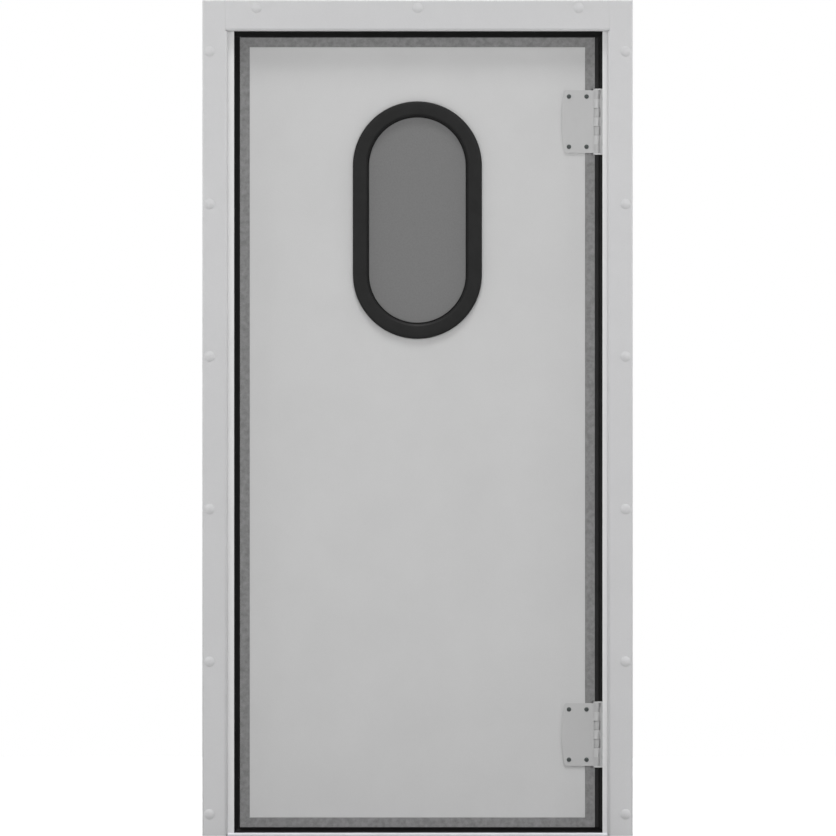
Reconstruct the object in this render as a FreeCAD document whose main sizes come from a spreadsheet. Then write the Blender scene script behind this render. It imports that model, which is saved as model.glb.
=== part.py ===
import FreeCAD, Part
import os
import re

import Sketcher

# Single-leaf traffic door that swings both ways, with its frame.
# Millimetres. X runs across the doorway, -Y faces the viewer and Z is up.
# The origin is on the floor, under the middle of the sill: X = 0 halves the
# doorway and Y = 0 halves the wall and the leaf.

DOC = FreeCAD.newDocument("double_swing_door")
SHEET = DOC.addObject("Spreadsheet::Sheet", "Sizes")

# Driving sizes, one cell each.
SIZES = {
    "wall_thickness": 100,
    "opening_width": 994,
    "opening_height": 2105,
    "jamb_flange_width": 66,
    "head_flange_height": 81,
    "casing_thickness": 5,
    "casing_bend_radius": 8,
    "casing_edge_radius": 4,
    "casing_joint_gap": 2,
    "fixing_hole_radius": 5,
    "fixing_edge_distance": 19,
    "fixing_first_height": 57,
    "fixing_head_drop": 53,
    "fixing_rows": 6,
    "head_fixing_drop": 20,
    "head_fixing_inset": 76,
    "head_fixing_columns": 3,
    "liner_depth": 60,
    "liner_wall": 4,
    "latch_liner_thickness": 17,
    "hinge_liner_thickness": 13,
    "sill_height": 8,
    "sill_ramp": 4,
    "seal_base_width": 28,
    "seal_base_thickness": 2.5,
    "seal_root_width": 14,
    "seal_tip_radius": 3,
    "latch_seal_height": 10.3,
    "head_seal_height": 11.2,
    "sill_seal_height": 9.2,
    "swing_gap": 5,
    "leaf_thickness": 22,
    "panel_thickness": 18,
    "skin_thickness": 1.5,
    "edge_width": 25.4,
    "edge_web": 4,
    "nose_setback": 2.6,
    "nose_chamber_radius": 4.2,
    "upper_hinge_drop": 220.1,
    "lower_hinge_rise": 242.7,
    "hinge_height": 165,
    "hinge_plate_thickness": 1.5,
    "hinge_plate_reach": 82.3,
    "hinge_plate_bulge": 7.3,
    "hinge_plate_corner": 5,
    "hinge_plate_gap": 0.75,
    "hinge_web": 6,
    "hinge_backing": 1.5,
    "hinge_screw_radius": 2.75,
    "hinge_screw_near": 24.3,
    "hinge_screw_spacing": 46,
    "hinge_screw_inset": 16.75,
    "knuckle_count": 7,
    "knuckle_gap": 0.5,
    "hinge_bar_thickness": 4,
    "hinge_arm_half": 4.5,
    "knuckle_radius": 11.4,
    "knuckle_room": 1,
    "eye_flat": 10.2,
    "lug_flat": 9,
    "pin_radius": 3.5,
    "pin_clearance": 0.05,
    "jamb_plate_thickness": 2.5,
    "jamb_plate_width": 48,
    "notch_gap": 1.5,
    "porthole_drop": 477.8,
    "porthole_straight": 284,
    "ring_outer_radius": 169,
    "ring_width": 42,
    "ring_rise": 13,
    "ring_lip": 2,
    "pane_thickness": 4,
    "glazing_clearance": 0.3,
    "spacer_width": 15,
}

# Sizes worked out from the driving ones. Each formula may use those above it.
DERIVED = {
    "reveal_x": "opening_width / 2",
    "outer_x": "reveal_x + jamb_flange_width",
    "head_end_x": "reveal_x + casing_thickness",
    "total_height": "opening_height + head_flange_height",
    "wall_face": "wall_thickness / 2",
    "casing_face": "wall_face + casing_thickness",
    "fixing_x": "outer_x - fixing_edge_distance",
    "fixing_span": "opening_height - fixing_head_drop - fixing_first_height",
    "head_fixing_z": "total_height - head_fixing_drop",
    "head_fixing_x": "reveal_x - head_fixing_inset",
    "liner_half": "liner_depth / 2",
    "latch_face_x": "latch_liner_thickness - reveal_x",
    "hinge_face_x": "reveal_x - hinge_liner_thickness",
    "leaf_half": "leaf_thickness / 2",
    "panel_half": "panel_thickness / 2",
    "swing_radius": "leaf_half + hinge_plate_thickness",
    "pivot_x": "hinge_face_x - swing_gap - swing_radius",
    "leaf_left": "latch_face_x + latch_seal_height + swing_gap",
    "leaf_right": "pivot_x - nose_setback",
    "leaf_bottom": "sill_height + sill_seal_height + swing_gap",
    "leaf_top": "opening_height - head_seal_height - swing_gap",
    "nose_shoulder": "sqrt(swing_radius * swing_radius - leaf_half * leaf_half)",
    "upper_hinge_height": "leaf_top - upper_hinge_drop",
    "lower_hinge_height": "leaf_bottom + lower_hinge_rise",
    "web_x": "pivot_x - knuckle_radius - knuckle_room",
    "notch_x": "web_x - hinge_web",
    "backing_x": "notch_x + hinge_backing",
    "hinge_half": "hinge_height / 2",
    "plate_half": "hinge_half - knuckle_gap",
    "hinge_screw_rise": "hinge_half - hinge_screw_inset",
    "bar_top": "hinge_half + hinge_bar_thickness",
    "bar_middle": "hinge_half + hinge_bar_thickness / 2",
    "notch_half": "bar_top + notch_gap",
    "knuckle_pitch": "hinge_height / knuckle_count",
    "eye_shoulder": "sqrt(knuckle_radius * knuckle_radius - eye_flat * eye_flat)",
    "lug_shoulder": "sqrt(knuckle_radius * knuckle_radius - lug_flat * lug_flat)",
    "plate_edge": "hinge_arm_half + hinge_plate_gap",
    "plate_sweep": "sqrt(plate_edge * plate_edge + swing_radius * swing_radius)",
    "hinge_base_x": "pivot_x + plate_sweep + hinge_plate_gap",
    "pin_hole_radius": "pin_radius + pin_clearance",
    "jamb_plate_back": "hinge_face_x + jamb_plate_thickness",
    "plate_right": "pivot_x - plate_edge",
    "plate_left": "pivot_x - hinge_plate_reach",
    "bulge_x": "plate_left - hinge_plate_bulge",
    "bulge_half": "plate_half - hinge_plate_corner",
    "bulge_radius": "(bulge_half * bulge_half / hinge_plate_bulge + hinge_plate_bulge) / 2",
    "porthole_x": "(leaf_left + leaf_right) / 2",
    "porthole_height": "leaf_top - porthole_drop",
    "straight_half": "porthole_straight / 2",
    "ring_inner_radius": "ring_outer_radius - ring_width",
    "hole_radius": "ring_outer_radius - ring_width / 2",
    "pane_radius": "hole_radius - glazing_clearance",
    "pane_face": "panel_half - ring_lip",
    "ring_top_radius": "(ring_width * ring_width / 4 / ring_rise + ring_rise) / 2",
}

PIECES = []


def fill_sheet():
    """One row per size: the value or formula in column A, its name as the alias."""
    cells = {name: str(value) for name, value in SIZES.items()}
    cells.update({name: "=" + formula for name, formula in DERIVED.items()})
    for row, (name, text) in enumerate(cells.items(), start=1):
        SHEET.set(f"A{row}", text)
        SHEET.setAlias(f"A{row}", name)
    DOC.recompute()


def linked(formula):
    """A formula in size names, with each name turned into its sheet reference."""
    known = set(SIZES) | set(DERIVED)
    return re.sub(
        r"[a-z_]+",
        lambda word: f"Sizes.{word.group()}" if word.group() in known else word.group(),
        str(formula),
    )


def number(formula):
    return float(SHEET.evalExpression(linked(formula)))


def bind(item, prop, formula):
    item.setExpression(prop, linked(formula))


def new_body(name):
    body = DOC.addObject("PartDesign::Body", name)
    body.Label = name
    PIECES.append(body)
    return body


def new_sketch(body, plane, offset="0"):
    """A sketch on one of the body's origin planes, lifted along that plane's normal.

    XY_Plane draws X, Y and looks along +Z. XZ_Plane draws X, Z with its normal on -Y.
    YZ_Plane draws Y, Z with its normal on +X.
    """
    sketch = body.newObject("Sketcher::SketchObject", f"{body.Name}_sketch")
    support = next(item for item in body.Origin.OriginFeatures if item.Role == plane)
    sketch.AttachmentSupport = (support, [""])
    sketch.MapMode = "FlatFace"
    bind(sketch, "AttachmentOffset.Base.z", offset)
    return sketch


def pin_point(sketch, curve, end, across, up):
    """Hold one point of a curve at two formulas from the sketch's origin."""
    for kind, formula in (("DistanceX", across), ("DistanceY", up)):
        rule = Sketcher.Constraint(kind, -1, 1, curve, end, number(formula))
        bind(sketch, f"Constraints[{sketch.addConstraint(rule)}]", formula)


def hold_radius(sketch, curve, radius):
    rule = Sketcher.Constraint("Radius", curve, number(radius))
    bind(sketch, f"Constraints[{sketch.addConstraint(rule)}]", radius)


def arc_between(start, end, radius, turn):
    """An arc from start to end; turn is 1 for counter-clockwise and -1 for clockwise."""
    chord = end - start
    rise = max(radius**2 - chord.Length**2 / 4, 0) ** 0.5
    side = FreeCAD.Vector(-chord.y, chord.x, 0).normalize()
    middle = (start + end) / 2 - side * turn * (radius - rise)
    return Part.Arc(start, middle, end)


def outline(sketch, corners):
    """A closed outline through the corners, each an (across, up) pair of formulas.

    A corner with a radius and a turn after its pair is reached by an arc.
    """
    points = [FreeCAD.Vector(number(c[0]), number(c[1]), 0) for c in corners]
    ends = []
    for index, corner in enumerate(corners):
        start, end = points[index - 1], points[index]
        if len(corner) == 2:
            curve = sketch.addGeometry(Part.LineSegment(start, end))
            ends.append((curve, 1, 2))
            continue
        radius, turn = corner[2:]
        curve = sketch.addGeometry(arc_between(start, end, number(radius), turn))
        ends.append((curve, 1, 2) if turn > 0 else (curve, 2, 1))
        hold_radius(sketch, curve, radius)
    for index, (curve, _, last) in enumerate(ends):
        after, first, _ = ends[(index + 1) % len(ends)]
        sketch.addConstraint(Sketcher.Constraint("Coincident", curve, last, after, first))
        pin_point(sketch, curve, last, corners[index][0], corners[index][1])


def rectangle(sketch, left, right, low, high):
    outline(sketch, [(left, low), (right, low), (right, high), (left, high)])


def circle(sketch, across, up, radius):
    centre = FreeCAD.Vector(number(across), number(up), 0)
    normal = FreeCAD.Vector(0, 0, 1)
    curve = sketch.addGeometry(Part.Circle(centre, normal, number(radius)))
    pin_point(sketch, curve, 3, across, up)
    hold_radius(sketch, curve, radius)


def stadium(sketch, radius):
    """The porthole's outline at a given end radius: two half rounds and two straights."""
    x, z = number("porthole_x"), number("porthole_height")
    half, size = number("straight_half"), number(radius)
    top = FreeCAD.Vector(x, z + half, 0)
    bottom = FreeCAD.Vector(x, z - half, 0)
    out = FreeCAD.Vector(size, 0, 0)
    up = FreeCAD.Vector(0, size, 0)
    right = sketch.addGeometry(Part.LineSegment(bottom + out, top + out))
    over = sketch.addGeometry(Part.Arc(top + out, top + up, top - out))
    left = sketch.addGeometry(Part.LineSegment(top - out, bottom - out))
    under = sketch.addGeometry(Part.Arc(bottom - out, bottom - up, bottom + out))
    for first, second in ((right, over), (over, left), (left, under), (under, right)):
        sketch.addConstraint(Sketcher.Constraint("Tangent", first, 2, second, 1))
    pin_point(sketch, over, 3, "porthole_x", "porthole_height + straight_half")
    pin_point(sketch, under, 3, "porthole_x", "porthole_height - straight_half")
    hold_radius(sketch, over, radius)
    hold_radius(sketch, under, radius)


def pad(body, sketch, length, centred=False):
    feature = body.newObject("PartDesign::Pad", f"{body.Name}_pad")
    feature.Profile = sketch
    bind(feature, "Length", length)
    if centred:
        feature.SideType = "Symmetric"
    DOC.recompute()
    return feature


def pocket(body, sketch, length, centred=False, reverse=False):
    """Cut a sketch out of the body and stop if nothing was removed."""
    before = body.Shape.Volume
    feature = body.newObject("PartDesign::Pocket", f"{body.Name}_pocket")
    feature.Profile = sketch
    bind(feature, "Length", length)
    if centred:
        feature.SideType = "Symmetric"
    feature.Reversed = reverse
    DOC.recompute()
    if body.Shape.isNull() or body.Shape.Volume >= before:
        raise RuntimeError(f"{body.Label}: a pocket removed nothing")
    return feature


def row_of_holes(body, hole, axis, span, count):
    """Repeat a drilled hole evenly over a span along one of the body's axes."""
    before = body.Shape.Volume
    pattern = body.newObject("PartDesign::LinearPattern", f"{body.Name}_holes")
    pattern.Originals = [hole]
    direction = next(item for item in body.Origin.OriginFeatures if item.Role == axis)
    pattern.Direction = (direction, [""])
    bind(pattern, "Length", span)
    bind(pattern, "Occurrences", count)
    body.Tip = pattern
    DOC.recompute()
    if body.Shape.Volume >= before:
        raise RuntimeError(f"{body.Label}: the row of holes removed nothing")


def make_sill():
    """Threshold plate, notched round the jamb liners, ramped front and rear."""
    body = new_body("sill")
    edge = "(casing_face - sill_ramp)"
    plate = new_sketch(body, "YZ_Plane")
    outline(plate, [
        ("-casing_face", "0"), ("casing_face", "0"),
        ("casing_face", "sill_height - sill_ramp"), (edge, "sill_height"),
        (f"-{edge}", "sill_height"), ("-casing_face", "sill_height - sill_ramp"),
    ])
    pad(body, plate, "opening_width", centred=True)
    notches = new_sketch(body, "XY_Plane")
    rectangle(notches, "-head_end_x", "latch_face_x", "-liner_half", "liner_half")
    rectangle(notches, "hinge_face_x", "head_end_x", "-liner_half", "liner_half")
    pocket(body, notches, "sill_height", reverse=True)


def make_room_for_head(body, side, face):
    """Cut the leg and its bend off level with the opening, so that the head runs over them."""
    leg = new_sketch(body, "XY_Plane", "opening_height")
    rectangle(leg, f"{side} * (reveal_x - casing_thickness)", f"{side} * head_end_x",
              "0", f"{face} * (casing_face + casing_thickness)")
    pocket(body, leg, "head_flange_height", reverse=True)


def round_top(body, face):
    """Round the flange's top edge as the head's is, so that the two run on."""
    outside = f"{face} * (casing_face + casing_thickness)"
    start = f"{face} * (casing_face - casing_edge_radius)"
    low, high = "total_height - casing_edge_radius", "total_height + casing_thickness"
    corner = new_sketch(body, "YZ_Plane")
    outline(corner, [
        (start, "total_height"),
        (f"{face} * casing_face", low, "casing_edge_radius", -face),
        (outside, low), (outside, high), (start, high),
    ])
    pocket(body, corner, "outer_x * 3", centred=True)


def make_jamb_casing(name, side, face):
    """Angle that clasps the wall's edge: side is -1 left, 1 right; face is -1 front."""
    body = new_body(name)
    turn = side * face
    section = new_sketch(body, "XY_Plane")
    outline(section, [
        (f"{side} * reveal_x", f"{face} * casing_joint_gap / 2"),
        (f"{side} * reveal_x", f"{face} * (casing_face - casing_bend_radius)"),
        (f"{side} * (reveal_x + casing_bend_radius)", f"{face} * casing_face",
         "casing_bend_radius", -turn),
        (f"{side} * (outer_x - casing_edge_radius)", f"{face} * casing_face"),
        (f"{side} * outer_x", f"{face} * (casing_face - casing_edge_radius)",
         "casing_edge_radius", -turn),
        (f"{side} * outer_x", f"{face} * wall_face"),
        (f"{side} * head_end_x", f"{face} * wall_face"),
        (f"{side} * head_end_x", f"{face} * casing_joint_gap / 2"),
    ])
    pad(body, section, "total_height")
    make_room_for_head(body, side, face)
    round_top(body, face)
    hole = new_sketch(body, "XZ_Plane", f"{-face} * casing_face")
    circle(hole, f"{side} * fixing_x", "fixing_first_height", "fixing_hole_radius")
    drilled = pocket(body, hole, "wall_face", centred=True)
    row_of_holes(body, drilled, "Z_Axis", "fixing_span", "fixing_rows")


def make_head_casing(name, face):
    """Angle over the opening, between the two jamb angles' flanges."""
    body = new_body(name)
    section = new_sketch(body, "YZ_Plane")
    outline(section, [
        (f"{face} * casing_joint_gap / 2", "opening_height"),
        (f"{face} * (casing_face - casing_bend_radius)", "opening_height"),
        (f"{face} * casing_face", "opening_height + casing_bend_radius",
         "casing_bend_radius", face),
        (f"{face} * casing_face", "total_height - casing_edge_radius"),
        (f"{face} * (casing_face - casing_edge_radius)", "total_height",
         "casing_edge_radius", face),
        (f"{face} * wall_face", "total_height"),
        (f"{face} * wall_face", "opening_height + casing_thickness"),
        (f"{face} * casing_joint_gap / 2", "opening_height + casing_thickness"),
    ])
    pad(body, section, "head_end_x * 2", centred=True)
    hole = new_sketch(body, "XZ_Plane", f"{-face} * casing_face")
    circle(hole, "-head_fixing_x", "head_fixing_z", "fixing_hole_radius")
    drilled = pocket(body, hole, "wall_face", centred=True)
    row_of_holes(body, drilled, "X_Axis", "head_fixing_x * 2", "head_fixing_columns")


def make_liner(name, side, thickness):
    """Hollow box profile that lines the jamb behind the two angles."""
    body = new_body(name)
    inner, outer = f"{side} * (reveal_x - {thickness})", f"{side} * reveal_x"
    section = new_sketch(body, "XY_Plane")
    rectangle(section, inner, outer, "-liner_half", "liner_half")
    rectangle(section, f"{inner} + {side} * liner_wall", f"{outer} - {side} * liner_wall",
              "liner_wall - liner_half", "liner_half - liner_wall")
    pad(body, section, "opening_height")
    return body


def make_hinge_liner():
    """The hinge side's liner, let in for the two hinge plates."""
    body = make_liner("hinge_jamb_liner", 1, "hinge_liner_thickness")
    seats = new_sketch(body, "YZ_Plane", "hinge_face_x")
    for height in ("upper_hinge_height", "lower_hinge_height"):
        rectangle(seats, "-jamb_plate_width / 2", "jamb_plate_width / 2",
                  f"{height} - bar_top", f"{height} + bar_top")
    pocket(body, seats, "jamb_plate_thickness", reverse=True)


def on_latch_liner(rise, width):
    return f"latch_face_x + {rise}", width


def under_head(rise, width):
    return width, f"opening_height - {rise}"


def on_sill(rise, width):
    return width, f"sill_height + {rise}"


def seal_section(sketch, place, height, turn):
    """Blade seal: a flat base that narrows to a round tip at the given height.

    place turns a rise from the base and a width into the sketch's two directions.
    """
    half = [
        ("0", "seal_base_width / 2"),
        ("seal_base_thickness", "seal_base_width / 2"),
        ("(seal_base_thickness + seal_tip_radius / 2)", "seal_root_width / 2"),
        (f"({height} - seal_tip_radius)", "seal_tip_radius"),
    ]
    rising = [place(rise, f"-({width})") for rise, width in half]
    falling = [place(rise, width) for rise, width in reversed(half)]
    crown = place(height, "0") + ("seal_tip_radius", turn)
    falling[0] += ("seal_tip_radius", turn)
    outline(sketch, rising + [crown] + falling)


def make_latch_seal():
    body = new_body("latch_seal")
    section = new_sketch(body, "XY_Plane", "sill_height + sill_seal_height")
    seal_section(section, on_latch_liner, "latch_seal_height", 1)
    pad(body, section, "opening_height - head_seal_height - sill_height - sill_seal_height")


def make_cross_seal(name, place, height, turn):
    """Head or sill seal, from liner to liner."""
    body = new_body(name)
    section = new_sketch(body, "YZ_Plane", "latch_face_x")
    seal_section(section, place, height, turn)
    pad(body, section, "hinge_face_x - latch_face_x")


def tongue(sketch, kind, root, side):
    """A flat-sided tongue from the root, its end round about the pivot.

    kind is "eye" or "lug". side is 1 where the end points to +X and -1 where to -X.
    """
    shoulder = f"pivot_x + {side} * {kind}_shoulder"
    outline(sketch, [
        (root, f"{-side} * {kind}_flat"),
        (shoulder, f"{-side} * {kind}_flat"),
        (shoulder, f"{side} * {kind}_flat", "knuckle_radius", 1),
        (root, f"{side} * {kind}_flat"),
    ])


def knuckle(sketch):
    """A barrel about the pivot with flats front and rear."""
    left, right = "pivot_x - eye_shoulder", "pivot_x + eye_shoulder"
    outline(sketch, [
        (left, "-eye_flat", "knuckle_radius", 1), (right, "-eye_flat"),
        (right, "eye_flat", "knuckle_radius", 1), (left, "eye_flat"),
    ])


def make_jamb_hinge(name, height):
    """Frame half of a hinge: plate let into the liner, base, bar, three eyes and end bars.

    Rows are counted from the middle one: eyes on 0 and 2, leaf lugs on 1, caps on 3.
    """
    body = new_body(name)
    plate = new_sketch(body, "XY_Plane")
    rectangle(plate, "hinge_face_x", "jamb_plate_back",
              "-jamb_plate_width / 2", "jamb_plate_width / 2")
    pad(body, plate, "bar_top * 2", centred=True)
    bar = new_sketch(body, "XY_Plane")
    rectangle(bar, "pivot_x", "jamb_plate_back", "-hinge_arm_half", "hinge_arm_half")
    pad(body, bar, "bar_top * 2", centred=True)
    base = new_sketch(body, "XY_Plane")
    rectangle(base, "hinge_base_x", "jamb_plate_back", "-eye_flat", "eye_flat")
    pad(body, base, "bar_top * 2", centred=True)
    eyes = new_sketch(body, "XY_Plane")
    knuckle(eyes)
    pad(body, eyes, "bar_top * 2", centred=True)
    for end in (-1, 1):
        end_bar = new_sketch(body, "XY_Plane", f"{end} * bar_middle")
        tongue(end_bar, "eye", "jamb_plate_back", -1)
        pad(body, end_bar, "hinge_bar_thickness", centred=True)
    for row, play in ((1, "knuckle_room"), (3, "pin_clearance")):
        for end in (-1, 1):
            room = new_sketch(body, "XY_Plane", f"{end * row} * knuckle_pitch")
            circle(room, "pivot_x", "0", f"knuckle_radius + {play}")
            pocket(body, room, "knuckle_pitch", centred=True)
    bore = new_sketch(body, "XY_Plane")
    circle(bore, "pivot_x", "0", "pin_hole_radius")
    pocket(body, bore, "hinge_height * 2", centred=True)
    bind(body, "Placement.Base.z", height)


def make_leaf_hinge(name, height):
    """Leaf half of a hinge: plates on both faces, a backing, a web and two lugs."""
    body = new_body(name)
    section = new_sketch(body, "XY_Plane")
    inner_x = "(leaf_right - edge_width)"
    outline(section, [
        ("plate_right", "-swing_radius"), ("plate_right", "-leaf_half"),
        ("backing_x", "-leaf_half"), ("backing_x", "leaf_half"),
        ("plate_right", "leaf_half"), ("plate_right", "swing_radius"),
        ("bulge_x", "swing_radius"), ("bulge_x", "panel_half"),
        (inner_x, "panel_half"), (inner_x, "leaf_half"),
        ("notch_x", "leaf_half"), ("notch_x", "-leaf_half"),
        (inner_x, "-leaf_half"), (inner_x, "-panel_half"),
        ("bulge_x", "-panel_half"), ("bulge_x", "-swing_radius"),
    ])
    pad(body, section, "plate_half * 2", centred=True)
    backing = new_sketch(body, "XY_Plane")
    rectangle(backing, "notch_x", "backing_x", "-leaf_half", "leaf_half")
    pad(body, backing, "notch_half * 2", centred=True)
    web = new_sketch(body, "XY_Plane")
    rectangle(web, "notch_x", "web_x", "-leaf_half", "leaf_half")
    pad(body, web, "knuckle_pitch * (knuckle_count - 2) - knuckle_gap * 2", centred=True)
    for row in (-1, 1):
        lug = new_sketch(body, "XY_Plane", f"{row} * knuckle_pitch")
        tongue(lug, "lug", "notch_x", 1)
        pad(body, lug, "knuckle_pitch - knuckle_gap * 2", centred=True)
    bore = new_sketch(body, "XY_Plane")
    circle(bore, "pivot_x", "0", "pin_hole_radius")
    pocket(body, bore, "hinge_height", centred=True)
    trim = new_sketch(body, "XZ_Plane")
    outline(trim, [
        ("bulge_x - edge_width", "-plate_half"),
        ("plate_left + hinge_plate_corner", "-plate_half"),
        ("plate_left", "-bulge_half", "hinge_plate_corner", -1),
        ("plate_left", "bulge_half", "bulge_radius", -1),
        ("plate_left + hinge_plate_corner", "plate_half", "hinge_plate_corner", -1),
        ("bulge_x - edge_width", "plate_half"),
    ])
    pocket(body, trim, "leaf_thickness * 2", centred=True)
    holes = new_sketch(body, "XZ_Plane")
    for across in ("hinge_screw_near", "(hinge_screw_near + hinge_screw_spacing)"):
        for up in ("-hinge_screw_rise", "hinge_screw_rise"):
            circle(holes, f"pivot_x - {across}", up, "hinge_screw_radius")
    pocket(body, holes, "leaf_thickness * 2", centred=True)
    bind(body, "Placement.Base.z", height)


def make_hinge_pin(name, height):
    pin = DOC.addObject("Part::Cylinder", name)
    pin.Label = name
    bind(pin, "Radius", "pin_radius")
    bind(pin, "Height", "bar_top * 2")
    bind(pin, "Placement.Base.x", "pivot_x")
    bind(pin, "Placement.Base.z", f"{height} - bar_top")
    PIECES.append(pin)


def make_end_cap(name, height, end):
    """Collar on the pin between a frame hinge's end bar and its outer eye."""
    body = new_body(name)
    ring = new_sketch(body, "XY_Plane")
    knuckle(ring)
    circle(ring, "pivot_x", "0", "pin_hole_radius")
    pad(body, ring, "knuckle_pitch", centred=True)
    bind(body, "Placement.Base.z", f"{height} + {end} * (hinge_half - knuckle_pitch / 2)")


def panel_outline(sketch):
    """The sandwich panel inside the edge profiles: notched at both hinges."""
    left, right = "leaf_left + edge_web", "(leaf_right - edge_web)"
    low, high = "leaf_bottom + edge_web", "leaf_top - edge_web"
    corners = [(left, low), (right, low)]
    for height in ("lower_hinge_height", "upper_hinge_height"):
        corners += [
            (right, f"{height} - notch_half"), ("notch_x", f"{height} - notch_half"),
            ("notch_x", f"{height} + notch_half"), (right, f"{height} + notch_half"),
        ]
    outline(sketch, corners + [(right, high), (left, high)])
    stadium(sketch, "hole_radius")


def make_panel_layer(name, middle, thickness):
    """A flat layer of the panel, centred on the given Y."""
    body = new_body(name)
    face = new_sketch(body, "XZ_Plane", f"-({middle})")
    panel_outline(face)
    pad(body, face, thickness, centred=True)


def make_leaf_edge(name, corners, slot):
    """One mitred edge profile, grooved for the panel's edge."""
    body = new_body(name)
    face = new_sketch(body, "XZ_Plane")
    outline(face, corners)
    pad(body, face, "leaf_thickness", centred=True)
    groove = new_sketch(body, "XZ_Plane")
    rectangle(groove, *slot)
    pocket(body, groove, "panel_thickness", centred=True)
    return body


def make_leaf_edges():
    """Four channels round the panel, the hinge side's cut away at the hinges."""
    left, right, low, high = "leaf_left", "leaf_right", "leaf_bottom", "leaf_top"
    left_in, right_in = "(leaf_left + edge_width)", "(leaf_right - edge_width)"
    low_in, high_in = "(leaf_bottom + edge_width)", "(leaf_top - edge_width)"
    make_leaf_edge(
        "leaf_bottom_edge",
        [(left, low), (right, low), (right_in, low_in), (left_in, low_in)],
        (left, right, f"{low} + edge_web", f"{low_in} + edge_web"),
    )
    make_leaf_edge(
        "leaf_top_edge",
        [(left_in, high_in), (right_in, high_in), (right, high), (left, high)],
        (left, right, f"{high_in} - edge_web", f"{high} - edge_web"),
    )
    make_leaf_edge(
        "leaf_latch_edge",
        [(left, low), (left_in, low_in), (left_in, high_in), (left, high)],
        (f"{left} + edge_web", f"{left_in} + edge_web", low, high),
    )
    body = make_leaf_edge(
        "leaf_hinge_edge",
        [(right, low), (right, high), (right_in, high_in), (right_in, low_in)],
        (f"{right_in} - edge_web", f"{right} - edge_web", low, high),
    )
    notches = new_sketch(body, "XZ_Plane")
    for height in ("lower_hinge_height", "upper_hinge_height"):
        rectangle(notches, "notch_x", "leaf_right + edge_web",
                  f"{height} - notch_half", f"{height} + notch_half")
    pocket(body, notches, "leaf_thickness * 2", centred=True)


def make_nose_seal(name, low, high):
    """Half-round hollow seal on the leaf's hinge edge, drawn about the pivot."""
    body = new_body(name)
    section = new_sketch(body, "XY_Plane", low)
    outline(section, [
        ("leaf_right", "-leaf_half"),
        ("pivot_x + nose_shoulder", "-leaf_half"),
        ("pivot_x + nose_shoulder", "leaf_half", "swing_radius", 1),
        ("leaf_right", "leaf_half"),
    ])
    circle(section, "pivot_x + swing_radius / 2", "0", "nose_chamber_radius")
    pad(body, section, f"{high} - ({low})")


def make_pane(name, face):
    body = new_body(name)
    middle = f"{face} * (pane_face - pane_thickness / 2)"
    glass = new_sketch(body, "XZ_Plane", f"-({middle})")
    stadium(glass, "pane_radius")
    pad(body, glass, "pane_thickness", centred=True)


def make_spacer():
    """Ring that holds the two panes apart inside the panel's hole."""
    body = new_body("porthole_spacer")
    ring = new_sketch(body, "XZ_Plane")
    stadium(ring, "pane_radius")
    stadium(ring, "pane_radius - spacer_width")
    pad(body, ring, "(pane_face - pane_thickness) * 2", centred=True)


def make_gasket(name, face):
    """Moulded ring over the panel's edge of the hole, with a lip on the pane."""
    body = new_body(name)
    path = new_sketch(body, "XZ_Plane", f"{-face} * panel_half")
    stadium(path, "hole_radius")
    section = new_sketch(body, "XY_Plane", "porthole_height - straight_half")
    outline(section, [
        ("porthole_x + ring_outer_radius", f"{face} * panel_half"),
        ("porthole_x + ring_inner_radius", f"{face} * panel_half", "ring_top_radius", face),
        ("porthole_x + ring_inner_radius", f"{face} * pane_face"),
        ("porthole_x + pane_radius", f"{face} * pane_face"),
        ("porthole_x + pane_radius", f"{face} * panel_half"),
    ])
    ring = body.newObject("PartDesign::AdditivePipe", f"{name}_ring")
    ring.Profile = section
    ring.Spine = path
    DOC.recompute()


def make_frame():
    make_sill()
    for side, side_name in ((-1, "latch"), (1, "hinge")):
        for face, face_name in ((-1, "front"), (1, "rear")):
            make_jamb_casing(f"{side_name}_jamb_{face_name}_casing", side, face)
    make_head_casing("head_front_casing", -1)
    make_head_casing("head_rear_casing", 1)
    make_liner("latch_jamb_liner", -1, "latch_liner_thickness")
    make_hinge_liner()
    make_latch_seal()
    make_cross_seal("head_seal", under_head, "head_seal_height", 1)
    make_cross_seal("sill_seal", on_sill, "sill_seal_height", -1)


def make_hinges():
    for level in ("upper", "lower"):
        height = f"{level}_hinge_height"
        make_jamb_hinge(f"{level}_hinge_jamb_bracket", height)
        make_leaf_hinge(f"{level}_hinge_leaf_bracket", height)
        make_hinge_pin(f"{level}_hinge_pin", height)
        make_end_cap(f"{level}_hinge_top_cap", height, 1)
        make_end_cap(f"{level}_hinge_bottom_cap", height, -1)


def make_leaf():
    make_panel_layer("leaf_core", "0", "panel_thickness - skin_thickness * 2")
    skin_middle = "(panel_half - skin_thickness / 2)"
    make_panel_layer("leaf_front_skin", f"-{skin_middle}", "skin_thickness")
    make_panel_layer("leaf_rear_skin", skin_middle, "skin_thickness")
    make_leaf_edges()
    lower, upper = "lower_hinge_height", "upper_hinge_height"
    make_nose_seal("nose_seal_bottom", "leaf_bottom", f"{lower} - notch_half")
    make_nose_seal("nose_seal_middle", f"{lower} + notch_half", f"{upper} - notch_half")
    make_nose_seal("nose_seal_top", f"{upper} + notch_half", "leaf_top")
    make_spacer()
    for face, face_name in ((-1, "front"), (1, "rear")):
        make_pane(f"porthole_{face_name}_pane", face)
        make_gasket(f"porthole_{face_name}_gasket", face)


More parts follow.
